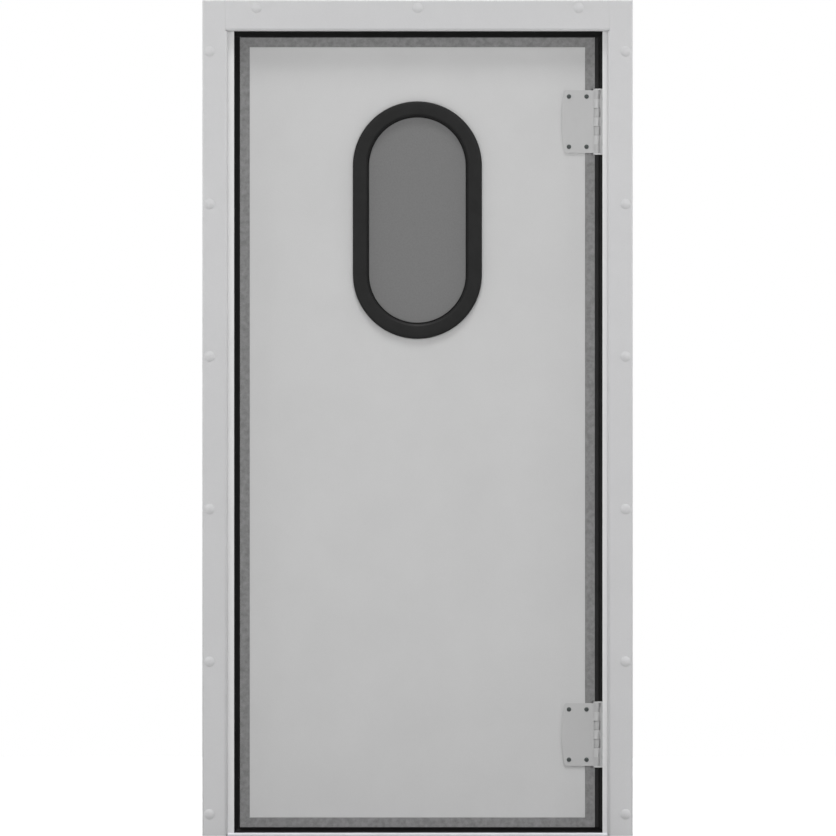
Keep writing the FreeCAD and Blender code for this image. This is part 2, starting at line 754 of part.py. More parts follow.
def check_and_write():
    """Stop on any failed object or bad shape, then write one file a piece."""
    DOC.recompute()
    for item in DOC.Objects:
        if {"Invalid", "Error"} & set(item.State):
            raise RuntimeError(f"{item.Label} failed: {item.State}")
    for piece in PIECES:
        if piece.Shape.isNull() or not piece.Shape.isValid():
            raise RuntimeError(f"{piece.Label} has a bad shape")
    os.makedirs("parts", exist_ok=True)
    for piece in PIECES:
        piece.Shape.exportStep(f"parts/{piece.Label}.step")
        box = piece.Shape.BoundBox
        print(piece.Label, len(piece.Shape.Solids), round(piece.Shape.Volume / 1000, 1),
              [round(value, 1) for value in (box.XMin, box.XMax, box.YMin, box.YMax,
                                             box.ZMin, box.ZMax)])


fill_sheet()
make_frame()
make_hinges()
make_leaf()
check_and_write()
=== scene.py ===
"""Looks of a double-acting swing door in its wall frame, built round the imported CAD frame.

Metres. X runs across the doorway, -Y faces the camera and Z is up from the floor.
"""

import math

import bmesh
import bpy
from mathutils import Matrix, Vector


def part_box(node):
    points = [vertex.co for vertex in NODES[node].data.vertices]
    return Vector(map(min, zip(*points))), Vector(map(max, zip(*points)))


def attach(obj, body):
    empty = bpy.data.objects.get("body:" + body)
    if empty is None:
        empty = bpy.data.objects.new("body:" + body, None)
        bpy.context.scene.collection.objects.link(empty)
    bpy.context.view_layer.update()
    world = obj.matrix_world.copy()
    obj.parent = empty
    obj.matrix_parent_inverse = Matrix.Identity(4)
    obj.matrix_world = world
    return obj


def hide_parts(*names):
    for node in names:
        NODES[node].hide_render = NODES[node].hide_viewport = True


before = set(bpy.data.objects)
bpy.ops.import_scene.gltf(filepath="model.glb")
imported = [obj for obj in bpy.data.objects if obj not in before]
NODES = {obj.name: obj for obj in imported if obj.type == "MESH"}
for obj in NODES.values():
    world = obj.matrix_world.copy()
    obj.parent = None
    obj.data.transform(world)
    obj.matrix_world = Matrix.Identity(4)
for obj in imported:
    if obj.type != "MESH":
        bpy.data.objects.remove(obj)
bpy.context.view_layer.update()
MM = 0.001

# The photograph: square, level and almost without perspective.
PICTURE_PIXELS, MM_A_PIXEL = 836, 2.615
PICTURE_WIDTH = PICTURE_PIXELS * MM_A_PIXEL * MM
PICTURE_CENTRE_X, PICTURE_CENTRE_Z = 1.2 * MM, 1093.1 * MM
LENS, SENSOR = 1000.0, 36.0


def low(node):
    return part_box(node)[0]


def high(node):
    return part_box(node)[1]


def middle(node):
    return (low(node) + high(node)) / 2


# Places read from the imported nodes.
FACE_Y = high("head_rear_casing").y
OPENING_TOP = high("hinge_jamb_liner").z
SILL_TOP = high("sill").z
LATCH_FACE_X = high("latch_jamb_liner").x
HINGE_FACE_X = low("hinge_jamb_liner").x
LEAF_LEFT = low("leaf_latch_edge").x
LEAF_BOTTOM = low("leaf_bottom_edge").z
LEAF_TOP = high("leaf_top_edge").z
PANEL_Y = high("leaf_rear_skin").y
PLATE_Y = high("upper_hinge_leaf_bracket").y
PANE_Y = high("porthole_rear_pane").y
PIVOT_X = middle("upper_hinge_pin").x
HINGE_Z = {level: middle(f"{level}_hinge_pin").z for level in ("upper", "lower")}
NOTCH_HALF = (high("upper_hinge_leaf_bracket").z - low("upper_hinge_leaf_bracket").z) / 2
BAR_HALF = (high("upper_hinge_jamb_bracket").z - low("upper_hinge_jamb_bracket").z) / 2
BAR_RADIUS = PIVOT_X - low("upper_hinge_jamb_bracket").x
PORTHOLE = middle("porthole_front_pane")
PANE_SIZE = high("porthole_front_pane") - low("porthole_front_pane")
PANE_RADIUS = PANE_SIZE.x / 2
STRAIGHT_HALF = (PANE_SIZE.z - PANE_SIZE.x) / 2

# Fixing holes, as the CAD spaces them: six rows up the jambs and three places on the head.
JAMB_CAP_INSET, HEAD_CAP_INSET = 19 * MM, 20 * MM
CAP_X = high("hinge_jamb_front_casing").x - JAMB_CAP_INSET
CAP_FIRST, CAP_LAST, CAP_COUNT = 57 * MM, OPENING_TOP - 53 * MM, 6
CAP_PITCH = (CAP_LAST - CAP_FIRST) / (CAP_COUNT - 1)
HEAD_CAP_X = [-421 * MM, 0.0, 421 * MM]
HEAD_CAP_Z = high("head_front_casing").z - HEAD_CAP_INSET

# Hinges, as the CAD has them: distances from the pivot, or up and down from the hinge's middle.
SCREW_X = [PIVOT_X - 24.3 * MM, PIVOT_X - 70.3 * MM]
SCREW_RISE = 65.75 * MM
JAMB_SCREW_Y = 15 * MM
JAMB_SCREW_RISES = [-60 * MM, 0.0, 60 * MM]
PLATE_HALF = 82.2 * MM
HINGE_HEIGHT, KNUCKLE_COUNT, KNUCKLE_GAP = 165 * MM, 7, 0.5 * MM
LUG_PITCH = HINGE_HEIGHT / KNUCKLE_COUNT

# How far the pads in the hinge notches reach from the pivot, and how near the pads come to the
# end bars, the seals' lips to the leaf, and the bead to the nose that turns beside it.
PAD_REACH = 18.5 * MM
PAD_GAP = 0.15 * MM
LIP_GAP = 0.1 * MM
BEAD_GAP = 0.5 * MM


def linear(value):
    """One 0-255 display value as the linear number that a shader takes."""
    v = value / 255
    return v / 12.92 if v <= 0.04045 else ((v + 0.055) / 1.055) ** 2.4


def colour(red, green=None, blue=None):
    """A display colour, or a grey if only one value is given, as a linear RGBA."""
    green, blue = (red, red) if green is None else (green, blue)
    return (linear(red), linear(green), linear(blue), 1.0)


def scaled(shade, factor):
    return tuple(channel * factor for channel in shade[:3]) + (1.0,)


class Nodes:
    """Short calls for one material's node tree."""

    def __init__(self, name):
        self.material = bpy.data.materials.new(name)
        self.material.use_nodes = True
        self.tree = self.material.node_tree
        self.shader = self.tree.nodes["Principled BSDF"]
        self.place = self.tree.nodes.new("ShaderNodeTexCoord").outputs["Object"]

    def link(self, source, target):
        self.tree.links.new(source, target)

    def noise(self, scale, detail=3.0, rough=0.55, stretch=(1, 1, 1)):
        """Noise in metres; a stretch below 1 makes it long on that axis."""
        mapping = self.tree.nodes.new("ShaderNodeMapping")
        mapping.inputs["Scale"].default_value = stretch
        self.link(self.place, mapping.inputs["Vector"])
        node = self.tree.nodes.new("ShaderNodeTexNoise")
        node.inputs["Scale"].default_value = scale
        node.inputs["Detail"].default_value = detail
        node.inputs["Roughness"].default_value = rough
        self.link(mapping.outputs["Vector"], node.inputs["Vector"])
        return node.outputs["Fac"]

    def spread(self, fac, least, most, start=0.3, end=0.7):
        """Noise values from start to end turned into numbers from least to most."""
        node = self.tree.nodes.new("ShaderNodeMapRange")
        for socket, value in zip(("From Min", "From Max", "To Min", "To Max"),
                                 (start, end, least, most)):
            node.inputs[socket].default_value = value
        self.link(fac, node.inputs["Value"])
        return node.outputs["Result"]

    def shades(self, fac, stops):
        """A colour ramp through (position, RGBA) stops."""
        node = self.tree.nodes.new("ShaderNodeValToRGB")
        ramp = node.color_ramp
        while len(ramp.elements) < len(stops):
            ramp.elements.new(0.5)
        for element, (position, shade) in zip(ramp.elements, stops):
            element.position = position
            element.color = shade
        self.link(fac, node.inputs["Fac"])
        return node.outputs["Color"]

    def multiplied(self, first, second):
        mix = self.tree.nodes.new("ShaderNodeMix")
        mix.data_type = "RGBA"
        mix.blend_type = "MULTIPLY"
        mix.inputs["Factor"].default_value = 1.0
        self.link(first, mix.inputs["A"])
        self.link(second, mix.inputs["B"])
        return mix.outputs["Result"]

    def bump(self, layers):
        """Stacked bumps, each a (height field, depth in metres) pair."""
        normal = None
        for height, depth in layers:
            node = self.tree.nodes.new("ShaderNodeBump")
            node.inputs["Strength"].default_value = 1.0
            node.inputs["Distance"].default_value = depth
            self.link(height, node.inputs["Height"])
            if normal is not None:
                self.link(normal, node.inputs["Normal"])
            normal = node.outputs["Normal"]
        self.link(normal, self.shader.inputs["Normal"])

    def feed(self, socket, source):
        self.link(source, self.shader.inputs[socket])

    def set(self, **sockets):
        for name, value in sockets.items():
            self.shader.inputs[name.replace("_", " ")].default_value = value


def painted(name, shade, vary, rough, grain, ripple):
    """Sprayed paint: faint cloudy tone, fine grain and a soft orange-peel ripple."""
    n = Nodes(name)
    cloud = n.noise(5.0, detail=6.0)
    tone = n.shades(cloud, [(0.32, scaled(shade, 1 - vary)), (0.68, scaled(shade, 1 + vary))])
    speck = n.shades(n.noise(650.0, detail=2.0), [(0.3, colour(248)), (0.7, colour(255))])
    n.feed("Base Color", n.multiplied(tone, speck))
    n.feed("Roughness", n.spread(n.noise(30.0), rough - 0.05, rough + 0.06))
    n.bump([(n.noise(140.0, detail=2.0), ripple), (n.noise(1400.0), grain)])
    n.set(Specular_IOR_Level=0.35)
    return n.material


def mottled_grey(name):
    """Extruded grey plastic edge: cloudy, lightly streaked and dull."""
    n = Nodes(name)
    cloud = n.noise(75.0, detail=5.0, rough=0.65)
    tone = n.shades(cloud, [(0.28, colour(114)), (0.5, colour(132)), (0.74, colour(147))])
    speck = n.shades(n.noise(900.0), [(0.3, colour(228)), (0.7, colour(255))])
    n.feed("Base Color", n.multiplied(tone, speck))
    n.feed("Roughness", n.spread(cloud, 0.5, 0.66))
    n.bump([(cloud, 0.12 * MM), (n.noise(900.0, detail=4.0), 0.05 * MM)])
    n.set(Specular_IOR_Level=0.3)
    return n.material


def rubber(name, dark, light, rough, grain, specular):
    """Black moulded or extruded rubber with a faint bloom and a pebbled skin."""
    n = Nodes(name)
    bloom = n.noise(22.0, detail=6.0, rough=0.6)
    n.feed("Base Color", n.shades(bloom, [(0.3, colour(dark)), (0.72, colour(light))]))
    n.feed("Roughness", n.spread(n.noise(60.0, detail=4.0), rough - 0.05, rough + 0.08))
    n.bump([(n.noise(420.0), grain), (n.noise(2200.0, detail=2.0), grain / 3)])
    n.set(Specular_IOR_Level=specular)
    return n.material


def tinted_pane(name):
    """Grey tinted acrylic, faintly frosted, that lets a little light through."""
    n = Nodes(name)
    haze = n.noise(260.0, detail=5.0, rough=0.7)
    n.feed("Base Color", n.shades(haze, [(0.3, colour(112)), (0.7, colour(121))]))
    n.feed("Roughness", n.spread(haze, 0.3, 0.4))
    n.bump([(haze, 0.01 * MM)])
    n.set(IOR=1.49, Transmission_Weight=0.1, Specular_IOR_Level=0.35)
    return n.material


def bare_metal(name, shade, rough, brushed, metallic=1.0):
    """Metal with fine lines along one axis."""
    n = Nodes(name)
    lines = n.noise(1500.0, detail=4.0, stretch=brushed)
    cloud = n.noise(14.0, detail=5.0)
    tone = n.shades(cloud, [(0.3, scaled(shade, 0.93)), (0.7, scaled(shade, 1.05))])
    n.feed("Base Color", tone)
    n.feed("Roughness", n.spread(lines, rough - 0.07, rough + 0.1))
    n.bump([(lines, 0.02 * MM)])
    n.set(Metallic=metallic)
    return n.material


def foam(name):
    """Rigid pale foam, seen only at the edges of cuts."""
    n = Nodes(name)
    voronoi = n.tree.nodes.new("ShaderNodeTexVoronoi")
    voronoi.inputs["Scale"].default_value = 700.0
    n.link(n.place, voronoi.inputs["Vector"])
    cells = voronoi.outputs["Distance"]
    pale, paler = colour(206, 196, 160), colour(232, 224, 196)
    n.feed("Base Color", n.shades(cells, [(0.0, pale), (0.8, paler)]))
    n.bump([(cells, 0.25 * MM)])
    n.set(Roughness=0.85)
    return n.material


FRAME_GREY = colour(200, 200, 201)
# Painted light: the liners sit recessed behind the casings and are painted lighter than the
# frame to offset the shade that falls on them there.
LINER_LIGHTENED_GREY = colour(228)
CAP_GREY = colour(201, 201, 202)
SILL_GREY = colour(203, 203, 208)
PANEL_GREY = colour(198)
HINGE_GREY = colour(186)
# Painted light: the frame's half of the hinges is painted lighter than the leaf's half to
# offset the shade in the grooves beside the eyes.
HINGE_BASE_LIGHTENED_GREY = colour(198)
SPACER_GREY = colour(150)
STEEL = colour(176, 178, 182)
DARK_STEEL = colour(72, 77, 76)

# One material for each slot of the record, and four for pieces with looks of their own. The
# paints of the liners and of the frame's half of the hinges are painted light: lighter than the
# frame and the hinge plates, to offset the shade in the liners' recess and in the hinges'
# grooves.
MATERIALS = {
    "frame_paint": painted("frame_paint", FRAME_GREY, 0.02, 0.42, 0.012 * MM, 0.03 * MM),
    "panel_paint": painted("panel_paint", PANEL_GREY, 0.02, 0.5, 0.02 * MM, 0.02 * MM),
    "panel_foam": foam("panel_foam"),
    "edge_grey": mottled_grey("edge_grey"),
    "seal_black": rubber("seal_black", 21, 29, 0.6, 0.03 * MM, 0.2),
    "ring_black": rubber("ring_black", 20, 26, 0.52, 0.02 * MM, 0.2),
    "pane_grey": tinted_pane("pane_grey"),
    "spacer_grey": bare_metal("spacer_grey", SPACER_GREY, 0.4, (1, 1, 0.05)),
    "hinge_paint": painted("hinge_paint", HINGE_GREY, 0.015, 0.4, 0.01 * MM, 0.015 * MM),
    "pin_steel": bare_metal("pin_steel", STEEL, 0.28, (1, 1, 0.04)),
    "sill_metal": bare_metal("sill_metal", SILL_GREY, 0.55, (0.02, 1, 1), 0.15),
}
# Painted light: the liners' paint is lighter than the frame's to offset the shade in their
# recess.
LINER_PAINTED_LIGHT = painted("liner_paint", LINER_LIGHTENED_GREY, 0.01, 0.42, 0.012 * MM, 0.03 * MM)
# Painted light: a lighter paint for the frame's half of the hinges, against the shade in its
# grooves.
HINGE_BASE_PAINTED_LIGHT = painted(
    "hinge_base_paint", HINGE_BASE_LIGHTENED_GREY, 0.015, 0.4, 0.01 * MM, 0.015 * MM)
CAP_PLASTIC = painted("cap_plastic", CAP_GREY, 0.01, 0.36, 0.008 * MM, 0.01 * MM)
SCREW_STEEL = bare_metal("screw_steel", DARK_STEEL, 0.42, (1, 1, 1), 0.55)


def soften(obj, width, segments=2):
    """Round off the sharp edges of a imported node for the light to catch."""
    weld = obj.modifiers.new("weld", "WELD")
    weld.merge_threshold = 0.01 * MM
    bevel = obj.modifiers.new("bevel", "BEVEL")
    bevel.width = width
    bevel.segments = segments
    bevel.limit_method = "ANGLE"
    bevel.angle_limit = math.radians(40)
    bevel.harden_normals = True


def material_of(name, slot_name):
    """The slot's material, or the lighter paint of the liners or of the frame's half of the
    hinges, painted light against the shade that falls on them.
    """
    if name.endswith("_jamb_liner"):
        return LINER_PAINTED_LIGHT
    if name.endswith("_hinge_jamb_bracket"):
        return HINGE_BASE_PAINTED_LIGHT
    return MATERIALS[slot_name]


def dress_nodes():
    """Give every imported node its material, and the rigid ones softened edges."""
    rounding = {
        "frame_paint": 0.5 * MM, "hinge_paint": 0.25 * MM, "edge_grey": 0.6 * MM,
        "sill_metal": 0.5 * MM,
    }
    for name, obj in NODES.items():
        slot_name = obj.data.materials[0].name.split(".")[0]
        for slot in obj.material_slots:
            slot.material = material_of(name, slot_name)
        if slot_name in rounding and not name.endswith("_jamb_liner"):
            soften(obj, rounding[slot_name])


def finished_mesh(bm, name, sharp):
    """Turn a bmesh into a smooth mesh with its edges above an angle kept sharp."""
    bmesh.ops.recalc_face_normals(bm, faces=bm.faces)
    mesh = bpy.data.meshes.new(name)
    bm.to_mesh(mesh)
    bm.free()
    for face in mesh.polygons:
        face.use_smooth = True
    mesh.set_sharp_from_angle(angle=math.radians(sharp))
    return mesh


def new_object(name, mesh, slot_name, body, material=None):
    """Put a finished mesh in the scene with its material, riding on a body."""
    obj = bpy.data.objects.new(name, mesh)
    bpy.context.scene.collection.objects.link(obj)
    if not mesh.materials:
        mesh.materials.append(material or MATERIALS[slot_name])
    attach(obj, body)
    return obj


def bridge(bm, rings, closed=False):
    """Join each ring of points to the next, and the last to the first where closed."""
    pairs = list(zip(rings, rings[1:])) + ([(rings[-1], rings[0])] if closed else [])
    for first, second in pairs:
        for k in range(len(first)):
            after = (k + 1) % len(first)
            bm.faces.new((first[k], second[k], second[after], first[after]))


def circle_ring(bm, radii, height):
    """A ring about Z, one radius for each of its evenly spaced points."""
    step = 2 * math.pi / len(radii)
    return [bm.verts.new((radius * math.cos(step * k), radius * math.sin(step * k), height))
            for k, radius in enumerate(radii)]


def facing(face):
    """Turns a mesh that points along +Z to point out of the front (-1) or rear (1)."""
    return Matrix.Rotation(math.radians(90 if face < 0 else -90), 4, "X")


def cap_mesh():
    """Low domed cap, part of a sphere on a thin rim, its seat at height 0."""
    radius, foot, rim, sunk = 13.6 * MM, 0.95, 0.3 * MM, 0.5 * MM
    steps, rows, lean = 48, 9, math.radians(26)
    ball = radius / math.sin(lean)
    height = rim + ball * (1 - math.cos(lean))
    profile = [(radius * foot, -sunk), (radius, 0.0), (radius, rim)]
    for row in range(1, rows):
        a = lean * (1 - row / rows)
        profile.append((ball * math.sin(a), height - ball * (1 - math.cos(a))))
    bm = bmesh.new()
    rings = [circle_ring(bm, [r] * steps, h) for r, h in profile]
    bridge(bm, rings)
    bm.faces.new(list(reversed(rings[0])))
    peak = bm.verts.new((0, 0, height))
    for k in range(steps):
        bm.faces.new((rings[-1][k], rings[-1][(k + 1) % steps], peak))
    return finished_mesh(bm, "fixing_cap", 50)


def make_caps():
    """Domed plastic caps on the fixing holes of both faces."""
    mesh = cap_mesh()
    rows = [CAP_FIRST + CAP_PITCH * row for row in range(CAP_COUNT)]
    spots = [(x, z) for x in (-CAP_X, CAP_X) for z in rows]
    spots += [(x, HEAD_CAP_Z) for x in HEAD_CAP_X]
    for face, side in ((-1, "front"), (1, "rear")):
        for index, (x, z) in enumerate(spots, start=1):
            name = f"{side}_fixing_cap_{index}"
            cap = new_object(name, mesh, "frame_paint", "frame", CAP_PLASTIC)
            cap.matrix_world = Matrix.Translation((x, face * FACE_Y, z)) @ facing(face)


def screw_mesh(name, radius, height, socket, depth):
    """Button-head screw with a hexagon socket, its seat at height 0."""
    steps, foot, sunk = 36, 0.96, 0.3 * MM
    edge, crown, stride = 0.15 * height, 65, 13
    profile = [(radius * foot, -sunk), (radius, 0.0), (radius, edge)]
    for angle in range(stride, crown + 1, stride):
        a = math.radians(angle)
        rise = math.sin(a) / math.sin(math.radians(crown))
        profile.append((radius * math.cos(a), edge + (height - edge) * rise))
    bm = bmesh.new()
    rings = [circle_ring(bm, [r] * steps, h) for r, h in profile]
    sixth = math.pi / 3
    hexagon = [socket / math.cos((2 * math.pi * k / steps) % sixth - sixth / 2)
               for k in range(steps)]
    rings += [circle_ring(bm, hexagon, height), circle_ring(bm, hexagon, height - depth)]
    bridge(bm, rings)
    bm.faces.new(list(reversed(rings[0])))
    bm.faces.new(rings[-1])
    return finished_mesh(bm, name, 35)


def make_hinge_screws():
    """Four dark screws in each face of both leaf hinge plates, six in each jamb plate."""
    leaf_screw = screw_mesh("hinge_screw", 5.8 * MM, 2.2 * MM, 2.1 * MM, 1.4 * MM)
    jamb_screw = screw_mesh("jamb_screw", 4.4 * MM, 0.2 * MM, 1.6 * MM, 0.15 * MM)
    into_jamb = Matrix.Rotation(math.radians(-90), 4, "Y")
    for level, height in HINGE_Z.items():
        for face, side in ((-1, "front"), (1, "rear")):
            spots = [(x, height + rise) for x in SCREW_X for rise in (-SCREW_RISE, SCREW_RISE)]
            for index, (x, z) in enumerate(spots, start=1):
                name = f"{level}_hinge_{side}_screw_{index}"
                screw = new_object(name, leaf_screw, "pin_steel", "leaf", SCREW_STEEL)
                screw.matrix_world = Matrix.Translation((x, face * PLATE_Y, z)) @ facing(face)
            for index, rise in enumerate(JAMB_SCREW_RISES, start=1):
                name = f"{level}_hinge_jamb_{side}_screw_{index}"
                screw = new_object(name, jamb_screw, "pin_steel", "frame", SCREW_STEEL)
                place = (HINGE_FACE_X, face * JAMB_SCREW_Y, height + rise)
                screw.matrix_world = Matrix.Translation(place) @ into_jamb


def extruded(name, half_section, place, start, end):
    """Run a mirrored section straight along one axis.

    half_section is (rise, half width) points in millimetres from the seat to the tip,
    and place turns a rise, a width and a distance along into a point.
    """
    half = [(rise * MM, width * MM) for rise, width in half_section]
    section = [(rise, -width) for rise, width in half] + list(reversed(half))
    bm = bmesh.new()
    ends = [[bm.verts.new(place(rise, width, along)) for rise, width in section]
            for along in (start, end)]
    bridge(bm, ends)
    bm.faces.new(ends[0])
    bm.faces.new(list(reversed(ends[1])))
    return finished_mesh(bm, name, 35)


def blade(height, reach):
    """Half section of a blade seal: flat foot, hollow flank, round bead, soft thin lip."""
    return [
        (0.0, 13.5), (0.5, 14.0), (1.9, 14.0), (2.5, 13.3), (2.9, 9.6), (3.8, 7.3),
        (height * 0.6, 4.6), (height - 1.7, 3.2), (height - 0.6, 2.4), (height, 1.3),
        (reach - 0.5, 0.8), (reach, 0.3),
    ]


def make_seals():
    """Blade seals on three sides of the opening, their lips just short of the leaf."""
    latch = (high("latch_seal").x - LATCH_FACE_X) / MM
    head = (OPENING_TOP - low("head_seal").z) / MM
    sill = (high("sill_seal").z - SILL_TOP) / MM
    runs = {
        "latch_seal": (
            blade(latch, (LEAF_LEFT - LIP_GAP - LATCH_FACE_X) / MM),
            lambda rise, width, along: (LATCH_FACE_X + rise, width, along),
            low("latch_seal").z, high("latch_seal").z,
        ),
        "head_seal": (
            blade(head, (OPENING_TOP - LEAF_TOP - LIP_GAP) / MM),
            lambda rise, width, along: (along, width, OPENING_TOP - rise),
            LATCH_FACE_X, HINGE_FACE_X,
        ),
        "sill_seal": (
            blade(sill, (LEAF_BOTTOM - LIP_GAP - SILL_TOP) / MM),
            lambda rise, width, along: (along, width, SILL_TOP + rise),
            LATCH_FACE_X, HINGE_FACE_X,
        ),
    }
    for node, (section, place, start, end) in runs.items():
        name = f"{node}_blade"
        mesh = extruded(name, section, place, start, end)
        seal = new_object(name, mesh, "seal_black", "frame")
        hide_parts(node)


def make_hinge_beads():
    """Black bead on the hinge liner, hollowed round the leaf's nose to close the gap."""
    clear = (high("nose_seal_middle").x + BEAD_GAP - PIVOT_X) / MM
    away, foot, shoulder, horn = (HINGE_FACE_X - PIVOT_X) / MM, 7.2, 3.6, 6.4
    section = [(0.0, foot), (shoulder, foot),
               (away - math.sqrt(clear**2 - horn**2), horn + 0.2)]
    for width in (horn, 5.0, 3.2, 1.2, 0.2):
        section.append((away - math.sqrt(clear**2 - width**2), width))

    def place(rise, width, along):
        return (HINGE_FACE_X - rise, width, along)

    stops = [
        high("sill_seal").z, HINGE_Z["lower"] - BAR_HALF, HINGE_Z["lower"] + BAR_HALF,
        HINGE_Z["upper"] - BAR_HALF, HINGE_Z["upper"] + BAR_HALF, low("head_seal").z,
    ]
    for label, start, end in zip(("bottom", "middle", "top"), stops[::2], stops[1::2]):
        name = f"hinge_bead_{label}"
        mesh = extruded(name, section, place, start, end)
        new_object(name, mesh, "seal_black", "frame")


def slab(name, outline, one_end, other_end):
    """An upright prism on an outline of (x, y) points, its two heights in either order."""
    bm = bmesh.new()
    heights = sorted((one_end, other_end))
    ends = [[bm.verts.new((x, y, z)) for x, y in outline] for z in heights]
    bridge(bm, ends)
    bm.faces.new(ends[0])
    bm.faces.new(list(reversed(ends[1])))
    return finished_mesh(bm, name, 35)


def turns(first, last, steps):
    """Evenly spaced angles from first to last."""
    return [first + (last - first) * step / steps for step in range(steps + 1)]


def arc_points(radius, angles):
    """Points on a circle round the hinges' pivot, as seen from above."""
    return [(PIVOT_X + radius * math.cos(a), radius * math.sin(a)) for a in angles]


def make_notch_pads():
    """Thin pads that close the leaf's hinge notches down to the frame's end bars."""
    inside, proud = 0.1 * MM, 0.25 * MM
    half = high("leaf_hinge_edge").y - inside
    cover = high("leaf_hinge_edge").y + proud
    notch, seam = PIVOT_X - PAD_REACH, high("leaf_hinge_edge").x
    nose = high("nose_seal_middle").x - PIVOT_X - inside
    corner = math.asin(half / nose)
    round_end = [(seam, half)] + arc_points(nose, turns(corner, -corner, 12)) + [(seam, -half)]
    short = PIVOT_X - BAR_RADIUS - PAD_GAP
    square_end = [(notch, -cover), (notch, cover), (seam, cover), (seam, -cover)]
    corner_end = [(notch, -cover), (notch, cover), (short, cover), (short, -cover)]
    for level, height in HINGE_Z.items():
        for label, end in (("bottom", -1), ("top", 1)):
            near, far = height + end * (BAR_HALF + PAD_GAP), height + end * NOTCH_HALF
            inner = height + end * PLATE_HALF
            for kind, outline, start, stop, slot_name in (
                ("nose_pad", round_end, near, far, "seal_black"),
                ("edge_pad", square_end, near, far, "edge_grey"),
                ("corner_pad", corner_end, inner, near, "edge_grey"),
            ):
                name = f"{level}_hinge_{label}_{kind}"
                new_object(name, slab(name, outline, start, stop), slot_name, "leaf")


def make_hinge_washers():
    """Black split washers over and under each leaf lug, and behind the lug a thin black strip
    that stands in for the shade deep in the slit: a painted shadow.
    """
    reach, flat, bore, play = 11.1 * MM, 9.9 * MM, 3.75 * MM, 0.05 * MM
    shade_strip_outer, shade_strip_inner = 12.35 * MM, 11.8 * MM
    split, sweep = math.radians(0.5), math.radians(22)
    round_trip = turns(split, 2 * math.pi - split, 48)
    washer = [(x, max(-flat, min(flat, y))) for x, y in arc_points(reach, round_trip)]
    washer += arc_points(bore, reversed(round_trip))
    shade_strip_arc = turns(-sweep, sweep, 8)
    liner = arc_points(shade_strip_outer, shade_strip_arc) + arc_points(shade_strip_inner, reversed(shade_strip_arc))
    half = LUG_PITCH / 2 - KNUCKLE_GAP
    for level, height in HINGE_Z.items():
        for label, lug_z in (("low", height - LUG_PITCH), ("high", height + LUG_PITCH)):
            # Painted shadow: a thin black strip behind the lug, where the slit would only be
            # dark from shade.
            name = f"{level}_hinge_{label}_lug_shade_strip"
            mesh = slab(name, liner, lug_z - half, lug_z + half)
            new_object(name, mesh, "seal_black", "frame")
            for place, end in (("under", -1), ("over", 1)):
                name = f"{level}_hinge_{label}_lug_washer_{place}"
                near, far = half + play, half + KNUCKLE_GAP - play
                mesh = slab(name, washer, lug_z + end * near, lug_z + end * far)
                new_object(name, mesh, "seal_black", "frame")


def porthole_stations(arc_steps, straight_steps):
    """Places round the porthole's oval: how far the centre lies up, and the angle there."""
    stations = [(STRAIGHT_HALF, math.pi * k / arc_steps) for k in range(arc_steps + 1)]
    for k in range(1, straight_steps):
        stations.append((STRAIGHT_HALF * (1 - 2 * k / straight_steps), math.pi))
    stations += [(-STRAIGHT_HALF, math.pi * (1 + k / arc_steps)) for k in range(arc_steps + 1)]
    for k in range(1, straight_steps):
        stations.append((STRAIGHT_HALF * (2 * k / straight_steps - 1), 0.0))
    return stations


def make_gaskets():
    """Moulded porthole rings: a flat body, with a chamfer, a groove and a lip inside it.

    The section runs in millimetres from the panel up the outside, over the body and down to
    the pane. Each point is a radius and a depth out from the middle of the leaf.
    """
    outer, inner, rise, square = 169.0, 127.0, 8.8, 0.42
    panel, pane, hole = PANEL_Y / MM, PANE_Y / MM, PANE_RADIUS / MM
    centre, half = (outer + inner) / 2 + 1.8, (outer - inner) / 2 - 2.0
    shoulder = panel + 1.6
    foot = [(hole + 0.6, panel), (outer - 0.8, panel), (outer, panel + 0.5),
            (outer - 0.1, shoulder)]
    body = [(centre + half * math.cos(a) ** square, shoulder + rise * math.sin(a) ** square)
            for a in turns(math.radians(9), math.pi / 2, 18)[:-1]]
    chamfer = [(inner + reach, shoulder + rise - drop) for reach, drop in (
        (10.2, 0.0), (9.1, 0.12), (8.2, 0.5), (6.2, 1.85), (4.4, 3.05), (3.7, 4.0))]
    groove = [(inner + 3.4, panel + 1.0), (inner + 3.2, pane + 0.6), (inner + 1.6, pane + 0.5)]
    lip = [(inner + 1.3, pane + 1.5), (inner + 0.5, pane + 1.7), (inner - 0.5, pane + 0.9),
           (inner - 0.7, pane + 0.1), (hole - 0.1, pane + 0.05), (hole, panel - 0.1)]
    section = foot + body + chamfer + groove + lip
    for face, side in ((-1, "front"), (1, "rear")):
        bm = bmesh.new()
        rings = [
            [bm.verts.new((PORTHOLE.x + radius * MM * math.cos(a), face * y * MM,
                           PORTHOLE.z + lift + radius * MM * math.sin(a)))
             for radius, y in section]
            for lift, a in porthole_stations(48, 10)
        ]
        bridge(bm, rings, closed=True)
        name = f"{side}_porthole_ring"
        ring = new_object(name, finished_mesh(bm, name, 50), "ring_black", "leaf")
        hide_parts(f"porthole_{side}_gasket")


